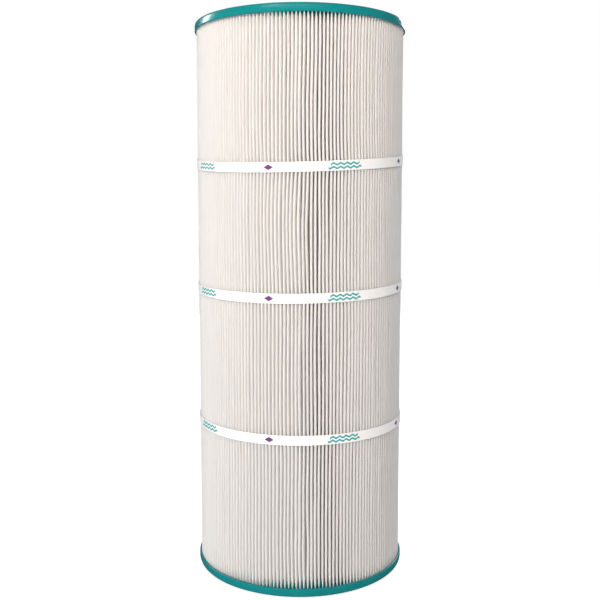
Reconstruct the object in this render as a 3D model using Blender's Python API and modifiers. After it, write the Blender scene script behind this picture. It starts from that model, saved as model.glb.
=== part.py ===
"""A pleated filter cartridge for a pool or spa filter housing, standing on end.

Units are metres and +Z is up. The origin is on the cartridge's axis, at the sealing face of the
bottom end cap. Every piece is a separate object, with a small gap to the pieces that it fits.
"""

import math

import bmesh
import bpy
from mathutils import Matrix, Vector

# Overall size, from sealing face to sealing face, and over the end caps.
CARTRIDGE_LENGTH = 0.5905
CAP_RADIUS = 0.1135

# Moulded end caps. The rim is what shows round the pleats; the land is the raised sealing face.
CAP_RIM_HEIGHT = 0.0087
CAP_OVERHANG = 0.002
CAP_HOLE_RADIUS = 0.0508
CAP_HOLE_WALL = 0.0018
CAP_EDGE_DROP = 0.003
CAP_EDGE_DRAFT = 0.0008
CAP_TOP_CHAMFER = 0.0005
CHANNEL_DEPTH = 0.006
LAND_HEIGHT = 0.0015
LAND_WIDTH = 0.012

# Pleated sheet, folded into a ring.
PLEAT_COUNT = 180
SHEET_THICKNESS = 0.0005
PLEAT_TIP_WIDTH = 0.0023
PLEAT_VALLEY_WIDTH = 0.0005

# Hot-melt bead that joins the sheet's two ends inside one pleat, at the back.
SEAM_ANGLE = math.radians(90)
SEAM_DEPTH = 0.009

# Straps round the pleat tips: each one's mean height, and how far it dips at the front and rises
# at the right, because the upper ones aren't wound quite level.
STRAP_WIDTH = 0.010
STRAP_THICKNESS = 0.0004
STRAP_LAP_LENGTH = 0.025
STRAP_PLACES = {
    "lower_strap": (0.163, 0.0, 0.0),
    "middle_strap": (0.3096, 0.0045, 0.0012),
    "upper_strap": (0.4444, 0.011, 0.0025),
}

# Perforated core, moulded in short sections that plug into each other.
CORE_WALL = 0.0028
CORE_SECTIONS = 4
CORE_COLUMNS = 12
CORE_WINDOW_ROWS = 3
CORE_RIB_WIDTH = 0.0055
CORE_RING_HEIGHT = 0.006
CORE_END_RING_HEIGHT = 0.012
SPIGOT_LENGTH = 0.008

# Clearance between neighbouring pieces, the facets of a round piece, and how its mesh is closed
# and shaded.
FIT_GAP = 0.0003
ROUND_STEPS = 60
CORE_STEPS_PER_COLUMN = 3
MERGE_DISTANCE = 0.00001
SHARP_EDGE_ANGLE = math.radians(30)
FULL_TURN = 2 * math.pi

# Sizes that follow from the ones above.
CAP_HEIGHT = LAND_HEIGHT + CAP_RIM_HEIGHT
CHANNEL_FLOOR = CAP_HEIGHT - CHANNEL_DEPTH
INSIDE_BOTTOM = CHANNEL_FLOOR + FIT_GAP
INSIDE_TOP = CARTRIDGE_LENGTH - INSIDE_BOTTOM
PLEAT_OUTER_RADIUS = CAP_RADIUS - CAP_OVERHANG

TEAL_URETHANE = ("teal_urethane", (0.004, 0.262, 0.262), 0.28, 0.0)
WHITE_POLYESTER = ("white_polyester", (0.86, 0.85, 0.82), 0.85, 0.0)
WHITE_STRAP = ("white_strap", (0.9, 0.91, 0.92), 0.45, 0.0)
CORE_PLASTIC = ("core_plastic", (0.82, 0.82, 0.8), 0.5, 0.0)
HOT_MELT = ("hot_melt", (0.8, 0.74, 0.58), 0.4, 0.0)


def around(radius, step):
    """The corner radius of an outline whose flats, each a step in radians, clear this radius."""
    return radius / math.cos(step / 2)


# The core stands outside the cap's inner wall, the pleats outside the core, and the straps and
# the cap's rim outside the pleats.
ROUND_STEP = FULL_TURN / ROUND_STEPS
CORE_WIDEST_STEP = FULL_TURN / CORE_COLUMNS / (CORE_STEPS_PER_COLUMN - 1)
CORE_INNER_RADIUS = around(CAP_HOLE_RADIUS + CAP_HOLE_WALL + FIT_GAP, CORE_WIDEST_STEP)
CORE_OUTER_RADIUS = CORE_INNER_RADIUS + CORE_WALL
PLEAT_INNER_RADIUS = CORE_OUTER_RADIUS + FIT_GAP
STRAP_INNER_RADIUS = around(PLEAT_OUTER_RADIUS + FIT_GAP, ROUND_STEP)
CHANNEL_OUTER_RADIUS = STRAP_INNER_RADIUS


def clear_scene():
    for obj in list(bpy.data.objects):
        bpy.data.objects.remove(obj, do_unlink=True)


def new_collection(name):
    collection = bpy.data.collections.new(name)
    bpy.context.scene.collection.children.link(collection)
    return collection


def material(look):
    """The Principled material of this look, made the first time it is asked for."""
    name, colour, roughness, metallic = look
    if name in bpy.data.materials:
        return bpy.data.materials[name]
    made = bpy.data.materials.new(name)
    made.use_nodes = True
    shader = made.node_tree.nodes["Principled BSDF"]
    shader.inputs["Base Color"].default_value = (*colour, 1.0)
    shader.inputs["Roughness"].default_value = roughness
    shader.inputs["Metallic"].default_value = metallic
    made.diffuse_color = (*colour, 1.0)
    return made


def add_object(name, data, collection, parent=None, look=None):
    obj = bpy.data.objects.new(name, data)
    collection.objects.link(obj)
    obj.parent = parent
    if look:
        data.materials.append(material(look))
    return obj


def add_cutter(name, mesh, collection, parent):
    cutter = add_object(name, mesh, collection, parent)
    cutter.hide_render = True
    cutter.display_type = "WIRE"
    return cutter


def profile_mesh(name, outline):
    """A closed outline of (radius, height) points in the XZ plane, ready for a Screw."""
    mesh = bpy.data.meshes.new(name)
    edges = [(i, (i + 1) % len(outline)) for i in range(len(outline))]
    mesh.from_pydata([(radius, 0.0, height) for radius, height in outline], edges, [])
    return mesh


def add_screw(obj, steps, angle):
    """Turns obj's profile about Z. The profile's outer side runs from top to bottom."""
    screw = obj.modifiers.new("Turn", "SCREW")
    screw.angle = angle
    screw.steps = steps
    screw.render_steps = steps
    screw.use_merge_vertices = True
    screw.merge_threshold = MERGE_DISTANCE
    screw.use_smooth_shade = True
    return screw


def turned_mesh(name, outline, steps, angle=FULL_TURN):
    """The outline turned about Z as a mesh of its own, with its two ends filled if it stops short."""
    guide = bpy.data.objects.new(name + "_profile", profile_mesh(name + "_profile", outline))
    bpy.context.scene.collection.objects.link(guide)
    add_screw(guide, steps, angle)
    graph = bpy.context.evaluated_depsgraph_get()
    mesh = bpy.data.meshes.new_from_object(guide.evaluated_get(graph))
    mesh.name = name
    profile = guide.data
    bpy.data.objects.remove(guide, do_unlink=True)
    bpy.data.meshes.remove(profile)
    if angle != FULL_TURN:
        bm = bmesh.new()
        bm.from_mesh(mesh)
        bmesh.ops.holes_fill(bm, edges=[edge for edge in bm.edges if edge.is_boundary])
        bmesh.ops.recalc_face_normals(bm, faces=bm.faces)
        bm.to_mesh(mesh)
        bm.free()
    mesh.shade_smooth()
    mesh.set_sharp_from_angle(angle=SHARP_EDGE_ANGLE)
    return mesh


def ring_outline(inner_radius, outer_radius, bottom, top):
    """A rectangular ring's section, its outer side running from top to bottom."""
    return [(outer_radius, top), (outer_radius, bottom), (inner_radius, bottom), (inner_radius, top)]


def cap_outline():
    """The bottom end cap's section: sealing land, hole wall, channel for the media, and rim."""
    channel_inner = CAP_HOLE_RADIUS + CAP_HOLE_WALL
    land_outer = CAP_HOLE_RADIUS + LAND_WIDTH
    return [
        (CHANNEL_OUTER_RADIUS, CAP_HEIGHT),
        (CAP_RADIUS - CAP_TOP_CHAMFER, CAP_HEIGHT),
        (CAP_RADIUS, CAP_HEIGHT - CAP_TOP_CHAMFER),
        (CAP_RADIUS, LAND_HEIGHT + CAP_EDGE_DROP),
        (CAP_RADIUS - CAP_EDGE_DRAFT, LAND_HEIGHT),
        (land_outer, LAND_HEIGHT),
        (land_outer, 0.0),
        (CAP_HOLE_RADIUS, 0.0),
        (CAP_HOLE_RADIUS, CAP_HEIGHT),
        (channel_inner, CAP_HEIGHT),
        (channel_inner, CHANNEL_FLOOR),
        (CHANNEL_OUTER_RADIUS, CHANNEL_FLOOR),
    ]


def make_end_caps(collection, parent):
    """The two caps are one moulding, used either way up."""
    mesh = turned_mesh("end_cap", cap_outline(), ROUND_STEPS)
    add_object("bottom_end_cap", mesh, collection, parent, TEAL_URETHANE)
    top = add_object("top_end_cap", mesh, collection, parent)
    top.location.z = CARTRIDGE_LENGTH
    top.rotation_euler.x = math.pi


def pleat_half_widths(radius):
    """Half the width of a pleat at this radius, over the sheet and inside it."""
    tip = PLEAT_TIP_WIDTH / 2
    valley_radius = PLEAT_INNER_RADIUS + SHEET_THICKNESS
    root = math.pi * valley_radius / PLEAT_COUNT - PLEAT_VALLEY_WIDTH / 2
    share = (radius - valley_radius) / (PLEAT_OUTER_RADIUS - valley_radius)
    over = root + (tip - root) * share
    return over, over - SHEET_THICKNESS


def pleat_outlines():
    """The sheet's two faces, seen from above: points (x, y) round the ring."""
    pitch = FULL_TURN / PLEAT_COUNT
    valley_radius = PLEAT_INNER_RADIUS + SHEET_THICKNESS
    crest_radius = PLEAT_OUTER_RADIUS - SHEET_THICKNESS
    faces = []
    for radii, side in (
        ((valley_radius, PLEAT_OUTER_RADIUS), 0),
        ((PLEAT_INNER_RADIUS, crest_radius), 1),
    ):
        root_radius, tip_radius = radii
        root = pleat_half_widths(root_radius)[side] / root_radius
        tip = pleat_half_widths(tip_radius)[side] / tip_radius
        corners = ((root_radius, -root), (tip_radius, -tip), (tip_radius, tip), (root_radius, root))
        points = []
        for i in range(PLEAT_COUNT):
            middle = SEAM_ANGLE + i * pitch
            for radius, turn in corners:
                points.append((radius * math.cos(middle + turn), radius * math.sin(middle + turn)))
        faces.append(points)
    return faces


def make_pleated_media(collection, parent):
    """One sheet folded into a ring, as a flat outline extruded to the cartridge's inside length."""
    curve = bpy.data.curves.new("pleat_outline", "CURVE")
    curve.dimensions = "2D"
    curve.fill_mode = "BOTH"
    curve.extrude = (INSIDE_TOP - INSIDE_BOTTOM) / 2
    for points in pleat_outlines():
        spline = curve.splines.new("POLY")
        spline.points.add(len(points) - 1)
        for point, (x, y) in zip(spline.points, points):
            point.co = (x, y, 0.0, 1.0)
        spline.use_cyclic_u = True
    media = add_object("pleated_media", curve, collection, parent, WHITE_POLYESTER)
    media.location.z = (INSIDE_TOP + INSIDE_BOTTOM) / 2


def make_seam_bead(collection, parent):
    """The bead between the sheet's two ends, as deep as the pleat's inside leaves room for."""
    outer_radius = PLEAT_OUTER_RADIUS - SHEET_THICKNESS - FIT_GAP
    inner_radius = outer_radius - SEAM_DEPTH
    thickness = 2 * (pleat_half_widths(inner_radius)[1] - FIT_GAP)
    bm = bmesh.new()
    bmesh.ops.create_cube(bm, size=1.0)
    size = Vector((SEAM_DEPTH, thickness, INSIDE_TOP - INSIDE_BOTTOM))
    bmesh.ops.scale(bm, vec=size, verts=bm.verts)
    mesh = bpy.data.meshes.new("media_seam_bead")
    bm.to_mesh(mesh)
    bm.free()
    bead = add_object("media_seam_bead", mesh, collection, parent, HOT_MELT)
    middle_radius = (inner_radius + outer_radius) / 2
    turn = Matrix.Rotation(SEAM_ANGLE, 4, "Z")
    bead.location = turn @ Vector((middle_radius, 0.0, (INSIDE_TOP + INSIDE_BOTTOM) / 2))
    bead.rotation_euler.z = SEAM_ANGLE


def strap_mesh(name):
    """A strap about its own middle: a thin ring, and the lap where its end is welded on."""
    half_width = STRAP_WIDTH / 2
    outer_radius = STRAP_INNER_RADIUS + STRAP_THICKNESS
    outline = ring_outline(STRAP_INNER_RADIUS, outer_radius, -half_width, half_width)
    return turned_mesh(name, outline, ROUND_STEPS)


def lap_mesh(name):
    """The lap's second layer, sunk half a thickness into the strap that it is welded to."""
    half_width = STRAP_WIDTH / 2 - FIT_GAP
    inner_radius = STRAP_INNER_RADIUS + STRAP_THICKNESS / 2
    outer_radius = STRAP_INNER_RADIUS + 2 * STRAP_THICKNESS
    outline = ring_outline(inner_radius, outer_radius, -half_width, half_width)
    angle = STRAP_LAP_LENGTH / STRAP_INNER_RADIUS
    steps = max(2, round(angle / ROUND_STEP))
    mesh = turned_mesh(name, outline, steps, angle)
    mesh.transform(Matrix.Rotation(SEAM_ANGLE - angle / 2, 4, "Z"))
    return mesh


def lean_matrix(dip, rise):
    """Slides a strap along the pleats: down by dip at the front, and up by rise at the right."""
    lean = Matrix.Identity(4)
    lean[2][0] = rise / STRAP_INNER_RADIUS
    lean[2][1] = dip / STRAP_INNER_RADIUS
    return lean


def make_straps(collection, cutters, parent):
    for name, (height, dip, rise) in STRAP_PLACES.items():
        lean = lean_matrix(dip, rise)
        strap = strap_mesh(name)
        strap.transform(lean)
        lap = lap_mesh(name + "_lap")
        lap.transform(lean)
        obj = add_object(name, strap, collection, parent, WHITE_STRAP)
        obj.location.z = height
        layer = add_cutter(name + "_lap", lap, cutters, obj)
        join = obj.modifiers.new("Lap", "BOOLEAN")
        join.operation = "UNION"
        join.object = layer


def cage_rows(bottom, top):
    """The heights between a core section's rings and windows, from its bottom to its top."""
    rings_between = CORE_WINDOW_ROWS - 1
    open_height = top - bottom - 2 * CORE_END_RING_HEIGHT - rings_between * CORE_RING_HEIGHT
    window_height = open_height / CORE_WINDOW_ROWS
    heights = [bottom, bottom + CORE_END_RING_HEIGHT]
    for _ in range(rings_between):
        heights.append(heights[-1] + window_height)
        heights.append(heights[-1] + CORE_RING_HEIGHT)
    heights.append(top - CORE_END_RING_HEIGHT)
    heights.append(top)
    return heights


def core_corner_angles():
    """The corners of the core's outline: two at each rib's sides, and the rest evenly between."""
    column = FULL_TURN / CORE_COLUMNS
    half_rib = CORE_RIB_WIDTH / 2 / CORE_OUTER_RADIUS
    wide = (column - 2 * half_rib) / (CORE_STEPS_PER_COLUMN - 1)
    turns = [-half_rib] + [half_rib + i * wide for i in range(CORE_STEPS_PER_COLUMN - 1)]
    return [i * column + turn for i in range(CORE_COLUMNS) for turn in turns]


def tube_mesh(name, radius, heights, is_open=None):
    """An open tube on the core's outline, with a row of faces between each two heights."""
    bm = bmesh.new()
    ring = [
        bm.verts.new((radius * math.cos(angle), radius * math.sin(angle), heights[0]))
        for angle in core_corner_angles()
    ]
    edges = [bm.edges.new((ring[i - 1], ring[i])) for i in range(len(ring))]
    for low, high in zip(heights, heights[1:]):
        grown = bmesh.ops.extrude_edge_only(bm, edges=edges)["geom"]
        verts = {item for item in grown if isinstance(item, bmesh.types.BMVert)}
        edges = [
            item for item in grown if isinstance(item, bmesh.types.BMEdge) and verts >= set(item.verts)
        ]
        bmesh.ops.translate(bm, verts=list(verts), vec=(0.0, 0.0, high - low))
    for face in bm.faces:
        middle = face.calc_center_median()
        if face.normal.x * middle.x + face.normal.y * middle.y < 0:
            face.normal_flip()
    if is_open:
        bmesh.ops.delete(bm, geom=[face for face in bm.faces if is_open(face)], context="FACES")
    mesh = bpy.data.meshes.new(name)
    bm.to_mesh(mesh)
    bm.free()
    return mesh


def cage_mesh(name, heights):
    """The open tube with its windows out: every other row, but for the face at each rib."""
    column = FULL_TURN / CORE_COLUMNS
    half_rib = CORE_RIB_WIDTH / 2 / CORE_OUTER_RADIUS

    def is_open(face):
        middle = face.calc_center_median()
        row = sum(middle.z > height for height in heights) - 1
        off_rib = (math.atan2(middle.y, middle.x) + column / 2) % column - column / 2
        return row % 2 == 1 and abs(off_rib) > half_rib

    return tube_mesh(name, CORE_OUTER_RADIUS, heights, is_open)


def add_wall(obj, thickness):
    """Gives an open tube its wall, inwards."""
    wall = obj.modifiers.new("Wall", "SOLIDIFY")
    wall.thickness = thickness
    wall.offset = -1.0


def cut_ring(section, name, radii, ends, cutters, parent):
    """Takes the ring between these radii and heights away from a core section."""
    inner_radius, outer_radius = radii
    cutter = add_cutter(name, tube_mesh(name, outer_radius, ends), cutters, parent)
    add_wall(cutter, outer_radius - inner_radius)
    difference = section.modifiers.new(name, "BOOLEAN")
    difference.operation = "DIFFERENCE"
    difference.object = cutter


def make_core_sections(collection, cutters, parent):
    """Sections that stand on each other. Each one's spigot plugs into the next one's socket."""
    section_length = (INSIDE_TOP - INSIDE_BOTTOM) / CORE_SECTIONS
    half_wall_radius = (CORE_INNER_RADIUS + CORE_OUTER_RADIUS) / 2
    for i in range(CORE_SECTIONS):
        name = f"core_section_{i + 1}"
        has_socket = i > 0
        has_spigot = i < CORE_SECTIONS - 1
        shoulder_bottom = INSIDE_BOTTOM + i * section_length
        shoulder_top = shoulder_bottom + section_length
        heights = cage_rows(shoulder_bottom, shoulder_top)
        if has_socket:
            heights[0] += FIT_GAP
        if has_spigot:
            heights[-1] += SPIGOT_LENGTH
        section = add_object(name, cage_mesh(name, heights), collection, parent, CORE_PLASTIC)
        add_wall(section, CORE_WALL)
        if has_spigot:
            radii = (half_wall_radius - FIT_GAP / 2, CORE_OUTER_RADIUS + CORE_WALL)
            ends = (shoulder_top, heights[-1] + CORE_WALL)
            cut_ring(section, name + "_spigot_cutter", radii, ends, cutters, parent)
        if has_socket:
            radii = (CORE_INNER_RADIUS - CORE_WALL, half_wall_radius + FIT_GAP / 2)
            ends = (heights[0] - CORE_WALL, shoulder_bottom + SPIGOT_LENGTH + FIT_GAP)
            cut_ring(section, name + "_socket_cutter", radii, ends, cutters, parent)


def main():
    clear_scene()
    parts = new_collection("filter_cartridge")
    cutters = new_collection("filter_cartridge_cutters")
    axis = add_object("cartridge_axis", None, parts)
    make_end_caps(parts, axis)
    make_pleated_media(parts, axis)
    make_seam_bead(parts, axis)
    make_straps(parts, cutters, axis)
    make_core_sections(parts, cutters, axis)


main()
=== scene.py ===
import math

import bmesh
import bpy
import numpy as np
from mathutils import Matrix, Vector


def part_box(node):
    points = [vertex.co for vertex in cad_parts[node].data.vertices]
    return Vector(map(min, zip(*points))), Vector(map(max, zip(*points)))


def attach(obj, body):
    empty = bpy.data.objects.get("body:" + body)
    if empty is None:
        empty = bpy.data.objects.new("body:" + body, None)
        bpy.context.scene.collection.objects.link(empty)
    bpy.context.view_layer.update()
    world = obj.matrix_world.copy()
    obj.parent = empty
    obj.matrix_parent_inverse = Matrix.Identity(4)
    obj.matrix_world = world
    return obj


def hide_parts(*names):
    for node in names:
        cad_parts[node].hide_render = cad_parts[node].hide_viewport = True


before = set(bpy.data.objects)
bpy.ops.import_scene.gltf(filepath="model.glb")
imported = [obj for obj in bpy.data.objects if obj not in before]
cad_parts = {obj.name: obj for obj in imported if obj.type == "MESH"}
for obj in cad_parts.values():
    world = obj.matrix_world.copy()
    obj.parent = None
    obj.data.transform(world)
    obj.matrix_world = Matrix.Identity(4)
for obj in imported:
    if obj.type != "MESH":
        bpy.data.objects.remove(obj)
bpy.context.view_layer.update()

print("frame loaded:", ", ".join(sorted(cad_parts)))


def deselectAll():
    if bpy.context.mode != "OBJECT":
        bpy.ops.object.mode_set(mode="OBJECT")
    bpy.ops.object.select_all(action="DESELECT")


def newest(name):
    # the primitive that was just added, under its own name
    obj = bpy.context.active_object
    obj.name = name
    obj.data.name = name
    return obj


def pickFaces(obj, wanted):
    # in edit mode: selects the faces for which wanted(centre, normal) holds, and nothing else
    bpy.ops.mesh.select_mode(type="FACE")
    bpy.ops.mesh.select_all(action="DESELECT")
    bm = bmesh.from_edit_mesh(obj.data)
    for face in bm.faces:
        face.select_set(wanted(face.calc_center_median(), face.normal))
    bmesh.update_edit_mesh(obj.data)


def pickEdges(obj, wanted):
    # in edit mode: selects the edges whose two ends both satisfy wanted(point), and nothing else
    bpy.ops.mesh.select_mode(type="EDGE")
    bpy.ops.mesh.select_all(action="DESELECT")
    bm = bmesh.from_edit_mesh(obj.data)
    for edge in bm.edges:
        edge.select_set(all(wanted(vert.co) for vert in edge.verts))
    bmesh.update_edit_mesh(obj.data)


def radiusOf(point):
    return math.hypot(point.x, point.y)


def chooseOnly(obj):
    deselectAll()
    obj.select_set(True)
    bpy.context.view_layer.objects.active = obj


def applyPlace(obj):
    # the piece's place goes into its mesh, and the object back to the origin
    chooseOnly(obj)
    bpy.ops.object.transform_apply(location=True, rotation=True, scale=True)


def applyModifiers(obj):
    chooseOnly(obj)
    for modifier in list(obj.modifiers):
        bpy.ops.object.modifier_apply(modifier=modifier.name)


def smoothShade(obj, degrees):
    chooseOnly(obj)
    bpy.ops.object.shade_smooth_by_angle(angle=math.radians(degrees))


def joinTo(obj, extra):
    # extra's mesh becomes part of obj
    chooseOnly(obj)
    extra.select_set(True)
    bpy.ops.object.join()


def addWall(obj, thickness, offset):
    wall = obj.modifiers.new("wall", "SOLIDIFY")
    wall.thickness = thickness
    wall.offset = offset
    applyModifiers(obj)


def turnOutwards(mesh):
    # an open sheet's face looks away from the axis
    bm = bmesh.new()
    bm.from_mesh(mesh)
    outermost = max(bm.faces, key=lambda face: radiusOf(face.calc_center_median()))
    middle = outermost.calc_center_median()
    if outermost.normal.x * middle.x + outermost.normal.y * middle.y < 0:
        bmesh.ops.reverse_faces(bm, faces=bm.faces)
    bm.to_mesh(mesh)
    bm.free()


def giveMaterial(obj, made):
    obj.data.materials.clear()
    obj.data.materials.append(made)


# measures that every piece takes from the frame
capLow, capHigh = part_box("bottom_end_cap")
mediaLow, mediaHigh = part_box("pleated_media")
capRadius = capHigh.x
capHeight = capHigh.z - capLow.z
mediaRadius = mediaHigh.x
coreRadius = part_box("core_section_1")[1].x
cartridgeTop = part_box("top_end_cap")[1].z
pleatCount = 180
# two radii or heights closer than this count as the same
near = 0.0001
strapNames = ("lowerStrap", "middleStrap", "upperStrap")
strapNodes = ("lower_strap", "middle_strap", "upper_strap")
strapMiddles = [(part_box(node)[0].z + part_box(node)[1].z) / 2 for node in strapNodes]
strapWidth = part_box("lower_strap")[1].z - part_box("lower_strap")[0].z
# the straps aren't wound quite level: how far each dips at the front and rises at the right
strapLeans = ((0.0, 0.0), (0.0045, 0.0012), (0.011, 0.0025))


# shader node groups: the sheet's fibres, and the skin of every cast or moulded piece
fibreLook = {
    # each layer's turn in degrees and its scale along the filaments
    "layers": ((18.0, 0.07), (-37.0, 0.09), (80.0, 0.06)),
    "ridgeWidth": 0.06,
    "cloudRange": (0.3, 0.7),
}
skinLook = {
    "grainShare": 0.12,
    "pitShare": 0.25,
    "pitRange": (0.02, 0.07),
    "blotchRange": (0.25, 0.75),
}


def newGroup(name, inputs, outputs):
    group = bpy.data.node_groups.new(name, "ShaderNodeTree")
    for socketName, kind, value in inputs:
        socket = group.interface.new_socket(socketName, in_out="INPUT", socket_type=kind)
        if value is not None:
            socket.default_value = value
    for socketName, kind in outputs:
        group.interface.new_socket(socketName, in_out="OUTPUT", socket_type=kind)
    enter = group.nodes.new("NodeGroupInput")
    leave = group.nodes.new("NodeGroupOutput")
    return group, enter, leave


def addNode(tree, kind, settings=None, **values):
    node = tree.nodes.new(kind)
    for key, value in (settings or {}).items():
        setattr(node, key, value)
    for key, value in values.items():
        node.inputs[key.replace("_", " ")].default_value = value
    return node


def mathNode(tree, operation, first, second=None):
    # a Math node on two values, each a socket or a number
    node = tree.nodes.new("ShaderNodeMath")
    node.operation = operation
    for index, value in enumerate((first, second)):
        if value is None:
            continue
        if isinstance(value, (int, float)):
            node.inputs[index].default_value = value
        else:
            tree.links.new(value, node.inputs[index])
    return node.outputs[0]


def ramp(tree, value, low, high, fromValue=0.0, toValue=1.0):
    # value between low and high, smoothed, as fromValue to toValue
    node = tree.nodes.new("ShaderNodeMapRange")
    node.interpolation_type = "SMOOTHSTEP"
    node.inputs["From Min"].default_value = low
    node.inputs["From Max"].default_value = high
    node.inputs["To Min"].default_value = fromValue
    node.inputs["To Max"].default_value = toValue
    tree.links.new(value, node.inputs["Value"])
    return node.outputs["Result"]


def mixColour(tree, factor, first, second):
    # a Mix node on two colours, each a socket or a colour
    node = tree.nodes.new("ShaderNodeMix")
    node.data_type = "RGBA"
    tree.links.new(factor, node.inputs["Factor"])
    ends = {socket.name: socket for socket in node.inputs if socket.type == "RGBA"}
    for socket, value in ((ends["A"], first), (ends["B"], second)):
        if isinstance(value, tuple):
            socket.default_value = (*value, 1.0)
        else:
            tree.links.new(value, socket)
    return next(socket for socket in node.outputs if socket.type == "RGBA")


def makeFibreWeb():
    # spun filaments laid down at random in the sheet, and the cloudiness of its weight
    group, enter, leave = newGroup(
        "fibreWeb",
        [
            ("Vector", "NodeSocketVector", None),
            ("Filament", "NodeSocketFloat", 900.0),
            ("Cloud", "NodeSocketFloat", 90.0),
        ],
        [("Fibres", "NodeSocketFloat"), ("Cloudiness", "NodeSocketFloat")],
    )
    layers = []
    for turn, stretch in fibreLook["layers"]:
        place = addNode(group, "ShaderNodeMapping")
        place.inputs["Rotation"].default_value[2] = math.radians(turn)
        place.inputs["Scale"].default_value = (1.0, stretch, 1.0)
        group.links.new(enter.outputs["Vector"], place.inputs["Vector"])
        noise = addNode(group, "ShaderNodeTexNoise", Detail=2.0, Roughness=0.6, Distortion=0.4)
        group.links.new(place.outputs["Vector"], noise.inputs["Vector"])
        group.links.new(enter.outputs["Filament"], noise.inputs["Scale"])
        ridge = mathNode(group, "ABSOLUTE", mathNode(group, "SUBTRACT", noise.outputs["Fac"], 0.5))
        layers.append(ramp(group, ridge, 0.0, fibreLook["ridgeWidth"], 1.0, 0.0))
    fibres = mathNode(group, "MAXIMUM", mathNode(group, "MAXIMUM", layers[0], layers[1]), layers[2])
    cloud = addNode(group, "ShaderNodeTexNoise", Detail=4.0, Roughness=0.62)
    group.links.new(enter.outputs["Vector"], cloud.inputs["Vector"])
    group.links.new(enter.outputs["Cloud"], cloud.inputs["Scale"])
    group.links.new(fibres, leave.inputs["Fibres"])
    clouds = ramp(group, cloud.outputs["Fac"], *fibreLook["cloudRange"])
    group.links.new(clouds, leave.inputs["Cloudiness"])
    return group


def makeCastSkin():
    # the skin of a cast or moulded piece: faint ripple, fine grain and small pits, with the pits' mask for
    # painted shade
    group, enter, leave = newGroup(
        "castSkin",
        [
            ("Vector", "NodeSocketVector", None),
            ("Ripple", "NodeSocketFloat", 60.0),
            ("Grain", "NodeSocketFloat", 1400.0),
        ],
        [("Height", "NodeSocketFloat"), ("Blotch", "NodeSocketFloat"), ("PaintedPitShade", "NodeSocketFloat")],
    )
    ripple = addNode(group, "ShaderNodeTexNoise", Detail=3.0, Roughness=0.5)
    grain = addNode(group, "ShaderNodeTexNoise", Detail=2.0, Roughness=0.7)
    pits = addNode(group, "ShaderNodeTexVoronoi")
    for node, scale in ((ripple, "Ripple"), (grain, "Grain"), (pits, "Ripple")):
        group.links.new(enter.outputs["Vector"], node.inputs["Vector"])
        group.links.new(enter.outputs[scale], node.inputs["Scale"])
    pitMask = ramp(group, pits.outputs["Distance"], *skinLook["pitRange"], 1.0, 0.0)
    grainHeight = mathNode(group, "MULTIPLY", grain.outputs["Fac"], skinLook["grainShare"])
    high = mathNode(group, "ADD", ripple.outputs["Fac"], grainHeight)
    high = mathNode(group, "SUBTRACT", high, mathNode(group, "MULTIPLY", pitMask, skinLook["pitShare"]))
    group.links.new(high, leave.inputs["Height"])
    group.links.new(ramp(group, ripple.outputs["Fac"], *skinLook["blotchRange"]), leave.inputs["Blotch"])
    group.links.new(pitMask, leave.inputs["PaintedPitShade"])
    return group


fibreWeb = makeFibreWeb()
castSkin = makeCastSkin()


def newMaterial(name, roughness, colour):
    made = bpy.data.materials.new(name)
    made.use_nodes = True
    shader = made.node_tree.nodes["Principled BSDF"]
    shader.inputs["Roughness"].default_value = roughness
    shader.inputs["Base Color"].default_value = (*colour, 1.0)
    made.diffuse_color = (*colour, 1.0)
    return made, made.node_tree, shader


def addGroup(tree, group, vector, **values):
    node = tree.nodes.new("ShaderNodeGroup")
    node.node_tree = group
    tree.links.new(vector, node.inputs["Vector"])
    for key, value in values.items():
        node.inputs[key].default_value = value
    return node


def addBump(tree, shader, height, distance, strength=0.5):
    bump = addNode(tree, "ShaderNodeBump", Distance=distance, Strength=strength)
    tree.links.new(height, bump.inputs["Height"])
    tree.links.new(bump.outputs["Normal"], shader.inputs["Normal"])
    return bump


def objectPlace(tree):
    return tree.nodes.new("ShaderNodeTexCoord").outputs["Object"]


# how far light travels inside a piece that glows
glowReach = 0.002


def makeCastMaterial(name, settings):
    # a cast or moulded plastic with its own colour, a darker shade in random blotches, and gloss; its
    # small pits get the darker colour as painted shade; glow is light carried inside it
    made, tree, shader = newMaterial(name, settings["roughness"], settings["colour"])
    skin = addGroup(tree, castSkin, objectPlace(tree), Ripple=settings["ripple"], Grain=settings["grain"])
    colour = mixColour(tree, skin.outputs["Blotch"], settings["shade"], settings["colour"])
    # painted shade: the dents of the small pits are coloured with the darker shade colour
    colour = mixColour(tree, skin.outputs["PaintedPitShade"], colour, settings["shade"])
    tree.links.new(colour, shader.inputs["Base Color"])
    smoothest = settings["roughness"]
    roughest = smoothest + settings["roughSpread"]
    rough = ramp(tree, skin.outputs["Blotch"], 0.0, 1.0, roughest, smoothest)
    tree.links.new(rough, shader.inputs["Roughness"])
    shader.inputs["Specular IOR Level"].default_value = settings["specular"]
    shader.inputs["Subsurface Weight"].default_value = settings["glow"]
    shader.inputs["Subsurface Scale"].default_value = glowReach
    addBump(tree, shader, skin.outputs["Height"], settings["bumpDepth"])
    return made


# teal end caps
endCap = {
    "steps": 240,
    "rimWall": 0.0021,
    "landWidth": 0.012,
    "landHeight": 0.0015,
    "holeRadius": 0.0508,
    "lipHeight": 0.00045,
    "pottingDrop": 0.0030,
    "edgeDrop": 0.0030,
    "edgeDraft": 0.0008,
    "faceRings": (0.072, 0.098),
    "faceRingWidth": 0.0018,
    "faceRingDepth": 0.0009,
    "outerRound": 0.0014,
    "innerRound": 0.0009,
    "softEdge": 0.0005,
    "softAbove": math.radians(50.0),
    "smoothBelow": 35.0,
    "coreLip": 0.001,
}
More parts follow.
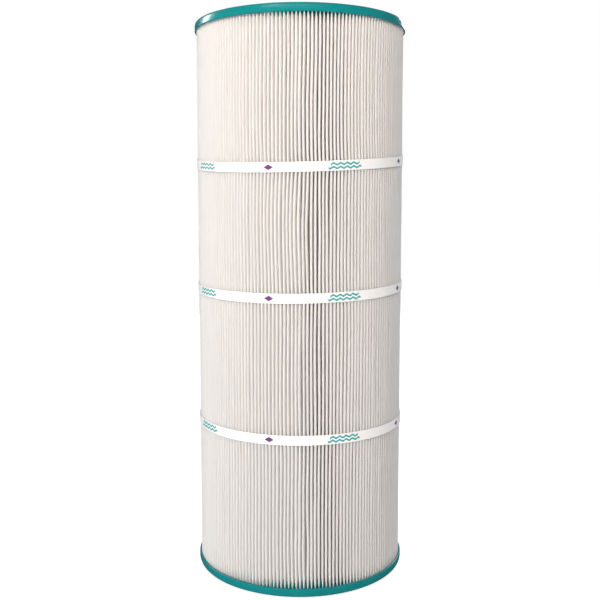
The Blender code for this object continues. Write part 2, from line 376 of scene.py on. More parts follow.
# urethane that crept up between the pleat ends, highest in the middle of each gap
wick = {
    "stepsPerGap": 6,
    "inset": 0.0034,
    "thickness": 0.0022,
    "sunk": 0.0034,
    "least": 0.0005,
    "share": 0.82,
    "bottomHeights": (0.0045, 0.0085),
    "topHeights": (0.0025, 0.0050),
    "seed": 5,
}
urethane = {
    "colour": (0.003, 0.232, 0.248),
    "shade": (0.002, 0.214, 0.230),
    "roughness": 0.20,
    "roughSpread": 0.05,
    "ripple": 30.0,
    "grain": 1600.0,
    "specular": 0.5,
    "glow": 0.0,
    "bumpDepth": 0.00006,
}
urethaneMaterial = makeCastMaterial("tealUrethane", urethane)


def insetPicked(thickness):
    bpy.ops.mesh.inset(thickness=thickness, depth=0.0, use_even_offset=True, use_boundary=True)


def moveExtruded(dz):
    bpy.ops.mesh.extrude_region_move(TRANSFORM_OT_translate={"value": (0.0, 0.0, dz)})


def middleFace(side):
    # picks the one face across the middle that looks down (-1) or up (1)
    return lambda centre, normal: normal.z * side > 0.9 and radiusOf(centre) < 0.001


def makeEndCap(name):
    # built as the bottom cap, standing on its sealing land
    settings = endCap
    deselectAll()
    bodyHeight = capHeight - settings["landHeight"]
    bpy.ops.mesh.primitive_cylinder_add(
        vertices=settings["steps"],
        radius=capRadius,
        depth=bodyHeight,
        end_fill_type="NGON",
        location=(0.0, 0.0, settings["landHeight"] + bodyHeight / 2),
    )
    cap = newest(name)
    applyPlace(cap)
    bpy.ops.object.mode_set(mode="EDIT")

    # the under side: the outlines of the ring grooves, then the raised sealing land
    low = settings["landHeight"]
    reach = capRadius
    for ring in sorted(settings["faceRings"], reverse=True):
        pickFaces(cap, middleFace(-1))
        insetPicked(reach - ring)
        insetPicked(settings["faceRingWidth"])
        reach = ring - settings["faceRingWidth"]
    landOuter = settings["holeRadius"] + settings["landWidth"]
    pickFaces(cap, middleFace(-1))
    insetPicked(reach - landOuter)
    moveExtruded(-settings["landHeight"])
    insetPicked(settings["landWidth"])
    bpy.ops.mesh.delete(type="ONLY_FACE")

    # the upper side: the rim's top, the urethane between the pleats, and the lip round the hole
    pickFaces(cap, middleFace(1))
    insetPicked(settings["rimWall"])
    moveExtruded(-settings["pottingDrop"])
    lipOuter = coreRadius - settings["coreLip"]
    insetPicked(capRadius - settings["rimWall"] - lipOuter)
    moveExtruded(settings["lipHeight"])
    insetPicked(lipOuter - settings["holeRadius"])
    bpy.ops.mesh.delete(type="ONLY_FACE")

    # the hole's wall joins the two sides
    pickEdges(cap, lambda point: abs(radiusOf(point) - settings["holeRadius"]) < near)
    bpy.ops.mesh.bridge_edge_loops()

    # the two ring grooves sink into the face
    for ring in settings["faceRings"]:
        middle = ring - settings["faceRingWidth"] / 2

        def onRing(centre, normal):
            flat = abs(centre.z - low) < near
            return flat and abs(radiusOf(centre) - middle) < settings["faceRingWidth"] * 0.4

        pickFaces(cap, onRing)
        moveExtruded(settings["faceRingDepth"])

    # a slight draft below the parting line, then softened edges
    partingHeight = low + settings["edgeDrop"]
    bpy.ops.mesh.select_all(action="SELECT")
    bpy.ops.mesh.bisect(plane_co=(0.0, 0.0, partingHeight), plane_no=(0.0, 0.0, 1.0))
    bm = bmesh.from_edit_mesh(cap.data)
    for vert in bm.verts:
        radius = radiusOf(vert.co)
        if radius > capRadius - near and vert.co.z < low + near:
            shrink = (capRadius - settings["edgeDraft"]) / radius
            vert.co.x *= shrink
            vert.co.y *= shrink
    bmesh.ops.recalc_face_normals(bm, faces=bm.faces)
    bmesh.update_edit_mesh(cap.data)
    drafted = capRadius - settings["edgeDraft"] - near
    pickEdges(cap, lambda point: radiusOf(point) > drafted and point.z < low + near)
    bpy.ops.mesh.bevel(offset=settings["outerRound"], segments=4, affect="EDGES")
    pickEdges(cap, lambda point: radiusOf(point) > drafted and point.z > capHeight - near)
    bpy.ops.mesh.bevel(offset=settings["innerRound"], segments=3, affect="EDGES")
    bpy.ops.object.mode_set(mode="OBJECT")

    soften = cap.modifiers.new("soften", "BEVEL")
    soften.width = settings["softEdge"]
    soften.segments = 3
    soften.limit_method = "ANGLE"
    soften.angle_limit = settings["softAbove"]
    applyModifiers(cap)
    return cap


def addWicks(cap, heights, seed, place):
    # made for the bottom cap, then put in place and joined
    deselectAll()
    bpy.ops.mesh.primitive_cylinder_add(
        vertices=pleatCount * wick["stepsPerGap"],
        radius=mediaRadius - wick["inset"],
        depth=1.0,
        end_fill_type="NOTHING",
        location=(0.0, 0.0, 0.5),
    )
    ring = newest(cap.name + "Wicks")
    applyPlace(ring)
    peaks = np.random.default_rng(seed).uniform(*heights, size=pleatCount)
    for vert in ring.data.vertices:
        gap = (math.atan2(-vert.co.x, vert.co.y) / (2 * math.pi) % 1.0) * pleatCount
        reach = 1.0 - abs(2.0 * (gap % 1.0) - 1.0) / wick["share"]
        if vert.co.z < 0.5:
            vert.co.z = capHeight - wick["sunk"]
        else:
            vert.co.z = capHeight - wick["least"] + peaks[int(gap) % pleatCount] * max(reach, 0.0)
    addWall(ring, wick["thickness"], -1.0)
    ring.data.transform(place)
    joinTo(cap, ring)
    smoothShade(cap, endCap["smoothBelow"])


bottomCap = makeEndCap("bottomEndCap")
deselectAll()
topCap = bottomCap.copy()
topCap.data = bottomCap.data.copy()
topCap.name = "topEndCap"
topCap.data.name = "topEndCap"
bpy.context.scene.collection.objects.link(topCap)
turnOver = Matrix.Translation((0.0, 0.0, cartridgeTop)) @ Matrix.Rotation(math.pi, 4, "X")
topCap.data.transform(turnOver)
addWicks(bottomCap, wick["bottomHeights"], wick["seed"], Matrix.Identity(4))
addWicks(topCap, wick["topHeights"], wick["seed"] + 1, turnOver)
for cap, node in ((bottomCap, "bottom_end_cap"), (topCap, "top_end_cap")):
    giveMaterial(cap, urethaneMaterial)
    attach(cap, "root")
    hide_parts(node)
print("end caps made")


# pleated media
pleats = {
    "seed": 11,
    "sheet": 0.0005,
    "tipWidth": 0.0025,
    "tipSpread": 0.0002,
    "spreadLimit": 2.0,
    "leastSpread": 0.25,
    "leastTip": 0.0009,
    # the tip's corner: its drop below the tip and its width, as shares of half the tip's width
    "tipCorner": (0.29, 0.71),
    "pinchedWidth": 0.0008,
    "pinchLengthBottom": 0.014,
    "pinchLengthTop": 0.010,
    "neckWidth": 0.0021,
    "neckDepth": 0.008,
    "neckLean": 0.0018,
    "neckKink": 0.0006,
    "bellyWidth": 0.0018,
    "bellyDepth": 0.018,
    "bellyLean": -0.0012,
    "bellyKink": 0.0005,
    "seamEase": 4,
    "seamPull": 0.0008,
    "seamPullSpan": 1.5,
    "seamShoulder": (0.0020, 0.0002),
    "seamTip": 0.0003,
    "kinkSpan": 1.6,
    "kinkLimit": 1.8,
    "rootWidth": 0.0009,
    "rootStep": 0.0009,
    "coreClear": 0.0003,
    "leastGap": 0.0003,
    "gapSpread": 0.22,
    "gapLimit": 1.6,
    "gapPasses": 12,
    "looseEase": 0.8,
    "driftKept": 0.25,
    "driftSpan": 7.0,
    "tipSink": 0.0003,
    "rowsPerBay": 9,
    # pleats that stand well apart: degrees right of the front, height, half length, extra gap
    "openGaps": (
        (5.0, 0.370, 0.032, 0.0013),
        (7.0, 0.380, 0.040, 0.0003),
        (9.0, 0.372, 0.036, 0.0011),
        (1.0, 0.390, 0.050, 0.0005),
        (15.0, 0.395, 0.050, 0.0005),
        (3.0, 0.050, 0.022, 0.0014),
        (-3.0, 0.074, 0.022, 0.0006),
        (5.0, 0.094, 0.025, 0.0006),
        (7.0, 0.108, 0.020, 0.0005),
        (1.0, 0.215, 0.050, 0.0006),
        (11.0, 0.262, 0.050, 0.0005),
        (-13.0, 0.250, 0.040, 0.0004),
        (9.0, 0.495, 0.020, 0.0008),
    ),
}


def rowHeights():
    # the sheet's rows: height, how loose the pleats are there, place in the bay, and lean
    holds = [(mediaLow.z, capHeight, (0.0, 0.0))]
    for middle, lean in zip(strapMiddles, strapLeans):
        holds.append((middle - strapWidth / 2, middle + strapWidth / 2, lean))
    holds.append((cartridgeTop - capHeight, mediaHigh.z, (0.0, 0.0)))
    rows = []
    for index, (low, high, lean) in enumerate(holds):
        rows.append((low, 0.0, (max(index - 1, 0), float(index > 0)), lean))
        if index == len(holds) - 1:
            rows.append((high, 0.0, (index - 1, 1.0), lean))
            break
        rows.append((high, 0.0, (index, 0.0), lean))
        bayTop, _, nextLean = holds[index + 1]
        count = pleats["rowsPerBay"] + (2 if index in (0, len(holds) - 2) else 0)
        for step in range(1, count):
            share = 0.5 - 0.5 * math.cos(math.pi * step / count)
            loose = math.sin(math.pi * share) ** pleats["looseEase"]
            between = tuple(here + (there - here) * share for here, there in zip(lean, nextLean))
            rows.append((high + (bayTop - high) * share, loose, (index, share), between))
    return sorted(rows, key=lambda row: row[0])


def smoothRound(values, span):
    # the same values with their quick changes taken out, round the ring
    half = int(span * 3)
    weights = np.exp(-0.5 * (np.arange(-half, half + 1) / span) ** 2)
    weights /= weights.sum()
    wrapped = np.concatenate([values[-half:], values, values[:half]])
    return np.convolve(wrapped, weights, "valid")


def blend(first, second, share):
    return first * (1 - share) + second * share


def pleatRow(row, draws):
    # at one height: how far each pleat is moved along the ring, its tip's width, how far its tip
    # is sunk, and how far its neck and its belly bend aside
    height, loose, place, lean = row
    frontHeight = height - lean[0]
    count = pleatCount
    pitch = 2 * math.pi * mediaRadius / count
    fromBottom = height - capHeight
    fromTop = cartridgeTop - capHeight - height
    opening = min(fromBottom / pleats["pinchLengthBottom"], fromTop / pleats["pinchLengthTop"], 1.0)
    opening = max(opening, 0.0)
    opening = math.sin(opening * math.pi / 2)
    full = pleats["tipWidth"] + pleats["tipSpread"] * draws["width"] * max(loose, pleats["leastSpread"])
    widths = pleats["pinchedWidth"] + (full - pleats["pinchedWidth"]) * opening
    bay, share = place
    neck, belly = (blend(draws[name][bay], draws[name][bay + 1], share) for name in ("neck", "belly"))
    if loose == 0.0:
        shifts = np.zeros(count)
        sink = np.zeros(count)
    else:
        noise = blend(draws["low"][bay], draws["high"][bay], share)
        gaps = np.exp(pleats["gapSpread"] * loose * noise)
        gaps *= (pitch - pleats["tipWidth"]) / gaps.mean()
        for degrees, middle, half, extra in pleats["openGaps"]:
            nearest = int((degrees + 180) / 360 * count)
            gaps[nearest] += extra * math.exp(-(((frontHeight - middle) / half) ** 2))
        shifts = np.concatenate([[0.0], np.cumsum(gaps - gaps.mean())[:-1]])
        shifts -= (1 - pleats["driftKept"]) * smoothRound(shifts, pleats["driftSpan"])
        shifts -= shifts[0]
        sink = pleats["tipSink"] * loose * np.abs(draws["sink"][bay])
    # the narrow seam pleat draws its neighbours in
    pull = pleats["seamPull"] * np.exp((1 - draws["fromSeam"]) / pleats["seamPullSpan"])
    shifts += np.where(np.arange(count) < count / 2, -pull, pull)
    # no two tips may meet: push them apart a few times
    for _ in range(pleats["gapPasses"]):
        room = pitch + np.roll(shifts, -1) - shifts - (widths + np.roll(widths, -1)) / 2
        short = np.maximum(pleats["leastGap"] - room, 0.0)
        shifts -= short / 2
        shifts += np.roll(short, 1) / 2
        shifts[0] = 0.0
    return shifts, widths, sink, neck, belly


def foldSheet():
    count = pleatCount
    random = np.random.default_rng(pleats["seed"])
    bays = len(strapMiddles) + 1
    spreadLimit, gapLimit, kinkLimit = pleats["spreadLimit"], pleats["gapLimit"], pleats["kinkLimit"]
    draws = {
        "width": np.clip(random.normal(size=count), -spreadLimit, spreadLimit),
        "low": np.clip(random.normal(size=(bays, count)), -gapLimit, gapLimit),
        "high": np.clip(random.normal(size=(bays, count)), -gapLimit, gapLimit),
        "sink": random.normal(size=(bays, count)),
        "fromSeam": np.minimum(np.arange(count), count - np.arange(count)),
    }
    # how far each pleat bends aside at its neck and further in, little by little away from the seam
    ease = np.clip(draws["fromSeam"] / pleats["seamEase"], 0.0, 1.0)
    for name in ("neck", "belly"):
        kinks = [smoothRound(random.normal(size=count), pleats["kinkSpan"]) for _ in range(bays + 1)]
        kinks = np.array([np.clip(kink / kink.std(), -kinkLimit, kinkLimit) for kink in kinks])
        draws[name] = (pleats[name + "Lean"] + pleats[name + "Kink"] * kinks) * ease
    pitchAngle = 2 * math.pi / count
    innerRadius = coreRadius + pleats["coreClear"] + pleats["sheet"] / 2
    cornerDrop, cornerWidth = pleats["tipCorner"]
    points = []
    for row in rowHeights():
        shifts, widths, sink, neckBends, bellyBends = pleatRow(row, draws)
        line = []
        for index in range(count + 1):
            pleat = index % count
            middle = index * pitchAngle
            tipAngle = middle + shifts[pleat] / mediaRadius
            tip = mediaRadius - sink[pleat]
            half = widths[pleat] / 2
            bulge = max(half, pleats["leastTip"])
            neck = min(pleats["neckWidth"] / 2, half)
            root = pleats["rootWidth"] / 2
            neckAngle = (middle + 3 * tipAngle) / 4 + neckBends[pleat] / mediaRadius
            bellyAngle = (middle + tipAngle) / 2 + bellyBends[pleat] / mediaRadius
            side = [
                (innerRadius, pitchAngle / 2 * innerRadius, middle),
                (innerRadius + pleats["rootStep"], root, middle),
                (tip - pleats["bellyDepth"], pleats["bellyWidth"] / 2, bellyAngle),
                (tip - pleats["neckDepth"], neck, neckAngle),
                (tip - bulge, half, tipAngle),
                (tip - cornerDrop * bulge, cornerWidth * half, tipAngle),
            ]
            if index == 0 or index == count:
                # the sheet's two ends lie flat against the seam's bead
                flat = pleats["sheet"]
                shoulderDrop, shoulderWidth = pleats["seamShoulder"]
                side[3] = (tip - pleats["neckDepth"], neck, tipAngle)
                side[4] = (tip - shoulderDrop, flat + shoulderWidth, tipAngle)
                side[5] = (tip - pleats["seamTip"], flat, tipAngle)
            left = [(radius, angle - along / radius) for radius, along, angle in side]
            right = [(radius, angle + along / radius) for radius, along, angle in side][::-1]
            if index == 0:
                line += right[:-1]
            elif index == count:
                line += left
            else:
                line += left + [(tip, tipAngle)] + right[:-1]
        height, lean = row[0], row[3]
        points.append(
            [
                (radius, angle, height + lean[0] * math.cos(angle) - lean[1] * math.sin(angle))
                for radius, angle in line
            ]
        )
    return points


def makeMedia():
    rows = foldSheet()
    columns = len(rows[0])
    deselectAll()
    # the flat sheet, ruled where it folds
    bpy.ops.mesh.primitive_grid_add(x_subdivisions=columns - 1, y_subdivisions=len(rows) - 1, size=2.0)
    media = newest("pleatedMedia")
    mesh = media.data
    flat = np.empty(len(mesh.vertices) * 3)
    mesh.vertices.foreach_get("co", flat)
    flat = flat.reshape(-1, 3)
    across = np.rint((flat[:, 0] + 1) / 2 * (columns - 1)).astype(int)
    up = np.rint((flat[:, 1] + 1) / 2 * (len(rows) - 1)).astype(int)
    # the folded sheet, from the seam at the back round to the seam again
    radius, angle, height = np.moveaxis(np.array(rows), 2, 0)
    folded = np.stack([-radius * np.sin(angle), radius * np.cos(angle), height], axis=2)
    mesh.vertices.foreach_set("co", folded[up, across].reshape(-1))
    # lengths along the sheet, in metres, for the fibres
    steps = np.linalg.norm(np.diff(folded[len(rows) // 2], axis=0), axis=1)
    along = np.concatenate([[0.0], np.cumsum(steps)])
    corners = np.empty(len(mesh.loops), dtype=np.int32)
    mesh.loops.foreach_get("vertex_index", corners)
    layer = mesh.uv_layers.active or mesh.uv_layers.new()
    layer.name = "sheetUv"
    sheetPlace = np.stack([along[across[corners]], height[up[corners], across[corners]]], axis=1)
    layer.data.foreach_set("uv", sheetPlace.reshape(-1))
    mesh.update()
    turnOutwards(mesh)
    mesh.shade_smooth()
    return media, along[-1]


media, sheetLength = makeMedia()
print("media folded:", round(sheetLength, 2), "m of sheet", len(media.data.polygons), "faces")

nonwoven = {
    "bright": (0.915, 0.915, 0.912),
    "dull": (0.885, 0.88, 0.872),
    "cool": (0.90, 0.903, 0.908),
    "fibre": (0.965, 0.965, 0.96),
    "toneScale": 9.0,
    "toneRange": (0.35, 0.65),
    "dullShare": 0.35,
    "fibreShare": 0.18,
    "roughness": 0.82,
    "specular": 0.3,
    "sheen": 0.25,
    "sheenRoughness": 0.5,
    "throughLight": 0.34,
    "filament": 1100.0,
    "cloud": 70.0,
    "cloudHeight": 0.6,
    "bumpDepth": 0.00005,
}


def makeNonwoven():
    settings = nonwoven
    made, tree, shader = newMaterial("spunPolyester", settings["roughness"], settings["bright"])
    sheetMap = addNode(tree, "ShaderNodeUVMap", {"uv_map": "sheetUv"})
    sheetPlace = sheetMap.outputs["UV"]
    web = addGroup(tree, fibreWeb, sheetPlace, Filament=settings["filament"], Cloud=settings["cloud"])
    # each pleat takes its own faint tone from the roll
    tone = addNode(tree, "ShaderNodeTexNoise", Scale=settings["toneScale"], Detail=1.0)
    tree.links.new(sheetPlace, tone.inputs["Vector"])
    cooled = ramp(tree, tone.outputs["Fac"], *settings["toneRange"])
    colour = mixColour(tree, cooled, settings["bright"], settings["cool"])
    dulled = mathNode(tree, "MULTIPLY", web.outputs["Cloudiness"], settings["dullShare"])
    colour = mixColour(tree, dulled, colour, settings["dull"])
    fibred = mathNode(tree, "MULTIPLY", web.outputs["Fibres"], settings["fibreShare"])
    colour = mixColour(tree, fibred, colour, settings["fibre"])
    tree.links.new(colour, shader.inputs["Base Color"])
    shader.inputs["Sheen Weight"].default_value = settings["sheen"]
    shader.inputs["Sheen Roughness"].default_value = settings["sheenRoughness"]
    shader.inputs["Specular IOR Level"].default_value = settings["specular"]
    cloudHeight = mathNode(tree, "MULTIPLY", web.outputs["Cloudiness"], settings["cloudHeight"])
    height = mathNode(tree, "ADD", web.outputs["Fibres"], cloudHeight)
    bump = addBump(tree, shader, height, settings["bumpDepth"])
    # thin sheet: some light comes through
    through = addNode(tree, "ShaderNodeBsdfTranslucent")
    tree.links.new(colour, through.inputs["Color"])
    tree.links.new(bump.outputs["Normal"], through.inputs["Normal"])
    both = addNode(tree, "ShaderNodeMixShader")
    both.inputs["Fac"].default_value = settings["throughLight"]
    tree.links.new(shader.outputs["BSDF"], both.inputs[1])
    tree.links.new(through.outputs["BSDF"], both.inputs[2])
    tree.links.new(both.outputs["Shader"], tree.nodes["Material Output"].inputs["Surface"])
    return made


media.data.materials.append(makeNonwoven())
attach(media, "root")
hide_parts("pleated_media")


# printed straps
strap = {
    "steps": 360,
    "thickness": 0.0004,
    "clear": 0.00028,
    "rows": (0.06, 0.35, 0.65, 0.94),
    "sink": 0.00006,
    "sway": 0.000125,
    "swayWaves": 3,
    "swayPhase": 40,
    "smoothBelow": 40.0,
    "lapLength": 0.025,
    "lapNarrower": 0.0006,
    "lapLift": 0.00042,
    "lapEase": 0.0022,
    "lapColumns": 100,
    "lapRows": 48,
    "weldRows": (-0.0042, 0.0, 0.0042),
    "weldPitch": 0.0026,
    "weldRadius": 0.00095,
    "weldDepth": 0.00024,
}
strapPrint = {
    "white": (0.93, 0.935, 0.94),
    "grey": (0.87, 0.88, 0.89),
    "teal": (0.045, 0.38, 0.41),
    "violet": (0.16, 0.045, 0.22),
    "repeat": math.radians(83.0),
    "tealAt": math.radians(23.5),
    "violetAt": math.radians(-16.0),
    "greyShare": 0.5,
    "roughness": 0.42,
    "ripple": 120.0,
    "grain": 2600.0,
    "bumpDepth": 0.00006,
    "bumpStrength": 0.4,
    "softEdge": 0.0002,
    "waveHalf": 0.0180,
    "waveShorter": 0.12,
    "waveLength": 0.0072,
    "waveHeight": 0.0016,
    "waveLine": 0.00115,
    "waveSoft": 0.75,
    "waveRows": (-0.0018, 0.0018),
    "dropHalf": 0.0050,
    "dropHeight": 0.0029,
    "dropEdge": 0.92,
}


def makeStrapMaterial(name, height, lean):
    settings = strapPrint
    made, tree, shader = newMaterial(name, settings["roughness"], settings["white"])
    place = tree.nodes.new("ShaderNodeSeparateXYZ")
    tree.links.new(objectPlace(tree), place.inputs["Vector"])
    rise = mathNode(tree, "SUBTRACT", place.outputs["Z"], height)
    for axis, most in zip(("Y", "X"), lean):
        leant = mathNode(tree, "MULTIPLY", place.outputs[axis], most / mediaRadius)
        rise = mathNode(tree, "SUBTRACT", rise, leant)
    # the angle right of the front, then metres along the strap from the nearest mark
    forward = mathNode(tree, "MULTIPLY", place.outputs["Y"], -1.0)
    turn = mathNode(tree, "ARCTAN2", place.outputs["X"], forward)

    def nearest(middle):
        node = addNode(tree, "ShaderNodeMath", {"operation": "WRAP"})
        tree.links.new(mathNode(tree, "SUBTRACT", turn, middle), node.inputs[0])
        node.inputs[1].default_value = settings["repeat"] / 2
        node.inputs[2].default_value = -settings["repeat"] / 2
        return mathNode(tree, "MULTIPLY", node.outputs[0], mediaRadius)

    # teal: short water ripples, one above the other
    across = nearest(settings["tealAt"])
    wave = mathNode(tree, "SINE", mathNode(tree, "MULTIPLY", across, 2 * math.pi / settings["waveLength"]))
    wave = mathNode(tree, "MULTIPLY", wave, settings["waveHeight"] / 2)
    edge = settings["waveLine"]
    ripples = None
    for index, row in enumerate(settings["waveRows"]):
        off = mathNode(tree, "SUBTRACT", mathNode(tree, "SUBTRACT", rise, row), wave)
        line = ramp(tree, mathNode(tree, "ABSOLUTE", off), edge * settings["waveSoft"], edge, 1.0, 0.0)
        half = settings["waveHalf"] * (1.0 - settings["waveShorter"] * index)
        ends = ramp(tree, mathNode(tree, "ABSOLUTE", across), half - settings["softEdge"], half, 1.0, 0.0)
        line = mathNode(tree, "MULTIPLY", line, ends)
        ripples = line if ripples is None else mathNode(tree, "MAXIMUM", ripples, line)

    # violet: a plain lozenge
    aside = mathNode(tree, "ABSOLUTE", nearest(settings["violetAt"]))
    aside = mathNode(tree, "DIVIDE", aside, settings["dropHalf"])
    above = mathNode(tree, "DIVIDE", mathNode(tree, "ABSOLUTE", rise), settings["dropHeight"])
    lozenge = ramp(tree, mathNode(tree, "ADD", aside, above), settings["dropEdge"], 1.0, 1.0, 0.0)

    skin = addGroup(tree, castSkin, objectPlace(tree), Ripple=settings["ripple"], Grain=settings["grain"])
    greyed = mathNode(tree, "MULTIPLY", skin.outputs["Blotch"], settings["greyShare"])
    colour = mixColour(tree, greyed, settings["white"], settings["grey"])
    colour = mixColour(tree, ripples, colour, settings["teal"])
    colour = mixColour(tree, lozenge, colour, settings["violet"])
    tree.links.new(colour, shader.inputs["Base Color"])
    addBump(tree, shader, skin.outputs["Height"], settings["bumpDepth"], settings["bumpStrength"])
    return made


def strapSway(angle, middle):
    # how far the strap wavers up or down there
    return strap["sway"] * math.sin(strap["swayWaves"] * angle + middle * strap["swayPhase"])


def makeLap(name, middle, lean):
    # the strap's free end lies over its start at the back, and small welds hold the two
    deselectAll()
    columns, rows = strap["lapColumns"], strap["lapRows"]
    bpy.ops.mesh.primitive_grid_add(x_subdivisions=columns, y_subdivisions=rows, size=1.0)
    lap = newest(name)
    pitch = strap["weldPitch"]
    welded = strap["lapLength"] / 2 - 2 * pitch
    for vert in lap.data.vertices:
        along = vert.co.x * strap["lapLength"]
        up = vert.co.y * (strapWidth - strap["lapNarrower"])
        # it rises on to the layer below at one end, and its free end is cut square
        ease = min((along + strap["lapLength"] / 2) / strap["lapEase"], 1.0)
        lift = strap["lapLift"] * math.sin(ease * math.pi / 2)
        if abs(along) < welded + pitch / 2:
            column = round(along / pitch) * pitch
            for row in strap["weldRows"]:
                off = math.hypot(along - column, up - row) / strap["weldRadius"]
                lift -= strap["weldDepth"] * max(0.0, 1.0 - off * off)
        radius = mediaRadius + strap["clear"] + lift
        angle = along / mediaRadius
        x, y = radius * math.sin(angle), radius * math.cos(angle)
        z = middle + up + strapSway(angle, middle)
        vert.co = (x, y, z + (lean[0] * y + lean[1] * x) / mediaRadius)
    turnOutwards(lap.data)
    addWall(lap, strap["thickness"], 1.0)
    return lap


def makeStrap(name, node, middle, lean):
    deselectAll()
    bpy.ops.mesh.primitive_cylinder_add(
        vertices=strap["steps"],
        radius=mediaRadius + strap["clear"],
        depth=strapWidth,
        end_fill_type="NOTHING",
        location=(0.0, 0.0, middle),
    )
    band = newest(name)
    applyPlace(band)
    bpy.ops.object.mode_set(mode="EDIT")
    bpy.ops.mesh.select_all(action="SELECT")
    for share in strap["rows"]:
        height = middle + strapWidth * (share - 0.5)
        bpy.ops.mesh.bisect(plane_co=(0.0, 0.0, height), plane_no=(0.0, 0.0, 1.0))
        bpy.ops.mesh.select_all(action="SELECT")
    bpy.ops.object.mode_set(mode="OBJECT")
    # it sinks a hair between the pleat tips, and wavers a little up and down
    for vert in band.data.vertices:
        angle = math.atan2(vert.co.x, vert.co.y)
        sunk = strap["sink"] * math.cos(angle * pleatCount)
        radius = radiusOf(vert.co)
        vert.co.x *= (radius + sunk) / radius
        vert.co.y *= (radius + sunk) / radius
        vert.co.z += strapSway(angle, middle)
        vert.co.z += (lean[0] * vert.co.y + lean[1] * vert.co.x) / mediaRadius
    addWall(band, strap["thickness"], 1.0)
    joinTo(band, makeLap(name + "Lap", middle, lean))
    smoothShade(band, strap["smoothBelow"])
    giveMaterial(band, makeStrapMaterial(name + "Print", middle, lean))
    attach(band, "root")
    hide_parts(node)


for name, node, middle, lean in zip(strapNames, strapNodes, strapMiddles, strapLeans):
    makeStrap(name, node, middle, lean)
print("straps made")


# core and seam bead
corePlastic = {
    "colour": (0.84, 0.84, 0.82),
    "shade": (0.78, 0.78, 0.76),
    "roughness": 0.42,
    "roughSpread": 0.12,
    "ripple": 80.0,
    "grain": 1200.0,
    "specular": 0.4,
    "glow": 0.0,
    "bumpDepth": 0.00012,
}
hotMelt = {
    "colour": (0.82, 0.76, 0.58),
    "shade": (0.72, 0.64, 0.44),
    "roughness": 0.35,
    "roughSpread": 0.15,
    "ripple": 160.0,
    "grain": 800.0,
    "specular": 0.5,
    "glow": 0.2,
    "bumpDepth": 0.0002,
}
coreMaterial = makeCastMaterial("corePlastic", corePlastic)
beadMaterial = makeCastMaterial("hotMelt", hotMelt)
for node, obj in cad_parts.items():
    if node.startswith("core_section"):
        giveMaterial(obj, coreMaterial)
    if node == "media_seam_bead":
        giveMaterial(obj, beadMaterial)
print("core and bead finished")


# floor, light and camera
studio = {
    "floor": (0.78, 0.78, 0.78),
    "floorSize": 30.0,
    "floorRoughness": 0.9,
    "floorLift": 0.76,
    "ambient": 0.55,
    "ambientAbove": 0.26,
    "ambientRange": (0.25, 0.9),
    "ambientColour": (0.94, 0.972, 1.0),
    "flagAt": math.radians(38.0),
    "flagShare": 0.42,
    "flagRange": (0.72, 0.98),
    "background": 1.0,
    "reflected": 0.10,
    # azimuth right of the front, elevation, distance, width, height, watts, colour, and what it lights
    "lights": {
        "keyLeft": (-64.0, -12.0, 1.6, 0.9, 1.0, 6.6, (0.88, 0.95, 1.0), "matt"),
        "warmFront": (-8.0, 36.0, 1.15, 0.8, 0.30, 8.8, (1.0, 0.825, 0.68), "matt"),
        "crispFront": (-32.0, -8.0, 1.6, 0.16, 0.16, 8.6, (0.96, 0.98, 1.0), "matt"),
        "edgeRight": (84.0, 2.0, 1.8, 0.4, 1.2, 8.6, (0.84, 0.93, 1.0), "matt"),
        "fillBack": (172.0, 14.0, 1.9, 1.4, 1.2, 19.0, (1.0, 0.99, 0.98), "matt"),
        "stripLeft": (-115.0, 24.0, 1.37, 0.30, 0.50, 5.5, (1.0, 1.0, 1.0), "gloss"),
        "stripFront": (-30.0, 40.0, 1.4, 0.35, 0.35, 1.2, (1.0, 1.0, 1.0), "gloss"),
        "stripBack": (150.0, 22.0, 1.6, 0.5, 0.5, 6.0, (1.0, 1.0, 1.0), "gloss"),
    },
}
cameraView = {
    "lens": 49.6,
    "sensor": 36.0,
    "distance": 0.9166,
    "height": 0.3973,
    "tilt": 4.96,
    "shift": -0.04,
    "farthest": 100.0,
}


def makeFloor():
    deselectAll()
    bpy.ops.mesh.primitive_plane_add(size=studio["floorSize"], location=(0.0, 0.0, 0.0))
    floor = newest("studioFloor")
    made, tree, shader = newMaterial("studioFloor", studio["floorRoughness"], studio["floor"])
    # the floor shines a little to the camera alone, so that it is as white as the background
    lifted = addNode(tree, "ShaderNodeEmission", Strength=studio["floorLift"])
    path = tree.nodes.new("ShaderNodeLightPath")
    seenOnly = addNode(tree, "ShaderNodeMixShader")
    dark = addNode(tree, "ShaderNodeEmission", Strength=0.0)
    tree.links.new(path.outputs["Is Camera Ray"], seenOnly.inputs["Fac"])
    tree.links.new(dark.outputs["Emission"], seenOnly.inputs[1])
    tree.links.new(lifted.outputs["Emission"], seenOnly.inputs[2])
    total = tree.nodes.new("ShaderNodeAddShader")
    tree.links.new(shader.outputs["BSDF"], total.inputs[0])
    tree.links.new(seenOnly.outputs["Shader"], total.inputs[1])
    tree.links.new(total.outputs["Shader"], tree.nodes["Material Output"].inputs["Surface"])
    floor.data.materials.append(made)
    floor.visible_glossy = False


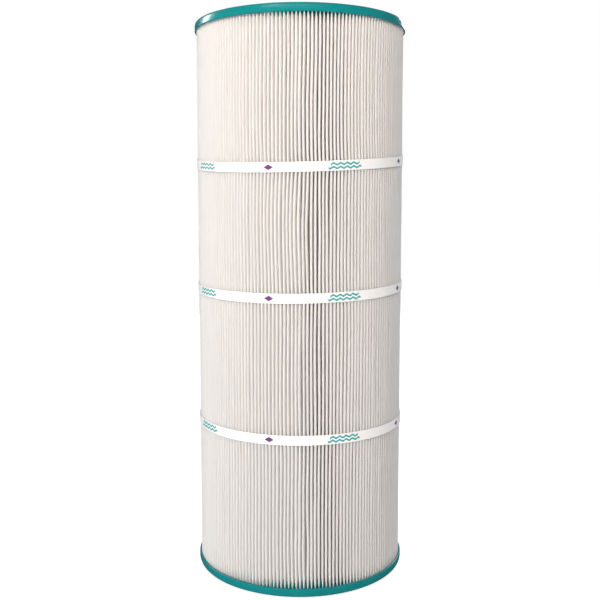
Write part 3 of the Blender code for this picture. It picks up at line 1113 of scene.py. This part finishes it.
def makeWorld():
    world = bpy.data.worlds.new("studio")
    bpy.context.scene.world = world
    world.use_nodes = True
    tree = world.node_tree
    tree.nodes.clear()
    output = tree.nodes.new("ShaderNodeOutputWorld")
    seen = addNode(tree, "ShaderNodeBackground", Color=(1.0, 1.0, 1.0, 1.0), Strength=studio["background"])
    lit = addNode(tree, "ShaderNodeBackground", Color=(*studio["ambientColour"], 1.0))
    mirrored = addNode(tree, "ShaderNodeBackground", Strength=studio["reflected"])
    # weaker from above than from the sides, and nearly dark in the gloss
    way = tree.nodes.new("ShaderNodeSeparateXYZ")
    tree.links.new(tree.nodes.new("ShaderNodeTexCoord").outputs["Generated"], way.inputs["Vector"])
    fall = ramp(tree, way.outputs["Z"], *studio["ambientRange"], studio["ambient"], studio["ambientAbove"])
    # a dark flag on the right keeps some depth between the pleats there
    towards = mathNode(tree, "MULTIPLY", way.outputs["X"], math.sin(studio["flagAt"]))
    forward = mathNode(tree, "MULTIPLY", way.outputs["Y"], -math.cos(studio["flagAt"]))
    facing = mathNode(tree, "ADD", towards, forward)
    flag = ramp(tree, facing, *studio["flagRange"], 1.0, studio["flagShare"])
    tree.links.new(mathNode(tree, "MULTIPLY", fall, flag), lit.inputs["Strength"])
    path = tree.nodes.new("ShaderNodeLightPath")
    glossy = tree.nodes.new("ShaderNodeMixShader")
    both = tree.nodes.new("ShaderNodeMixShader")
    tree.links.new(path.outputs["Is Glossy Ray"], glossy.inputs["Fac"])
    tree.links.new(lit.outputs["Background"], glossy.inputs[1])
    tree.links.new(mirrored.outputs["Background"], glossy.inputs[2])
    tree.links.new(path.outputs["Is Camera Ray"], both.inputs["Fac"])
    tree.links.new(glossy.outputs["Shader"], both.inputs[1])
    tree.links.new(seen.outputs["Background"], both.inputs[2])
    tree.links.new(both.outputs["Shader"], output.inputs["Surface"])


def makeLamps():
    aim = Vector((0.0, 0.0, cartridgeTop / 2))
    for name, lampSettings in studio["lights"].items():
        azimuth, elevation, distance, width, height, watts, colour, kind = lampSettings
        light = bpy.data.lights.new(name, "AREA")
        light.shape = "RECTANGLE"
        light.size = width
        light.size_y = height
        light.energy = watts
        light.color = colour
        lamp = bpy.data.objects.new(name, light)
        bpy.context.scene.collection.objects.link(lamp)
        turn, lift = math.radians(azimuth), math.radians(elevation)
        away = Vector((math.sin(turn) * math.cos(lift), -math.cos(turn) * math.cos(lift), math.sin(lift)))
        lamp.location = aim + away * distance
        lamp.rotation_euler = away.to_track_quat("Z", "Y").to_euler()
        lamp.visible_diffuse = kind == "matt"
        lamp.visible_transmission = kind == "matt"
        lamp.visible_glossy = kind == "gloss"


makeFloor()
makeWorld()
makeLamps()
camera = bpy.data.objects.new("camera", bpy.data.cameras.new("camera"))
bpy.context.scene.collection.objects.link(camera)
camera.location = (0.0, -cameraView["distance"], cameraView["height"])
camera.rotation_euler = (math.radians(90.0 - cameraView["tilt"]), 0.0, 0.0)
camera.data.lens = cameraView["lens"]
camera.data.sensor_width = cameraView["sensor"]
camera.data.shift_y = cameraView["shift"]
camera.data.clip_end = cameraView["farthest"]
bpy.context.scene.camera = camera
bpy.context.scene.view_settings.view_transform = "Standard"
print("studio and camera ready")
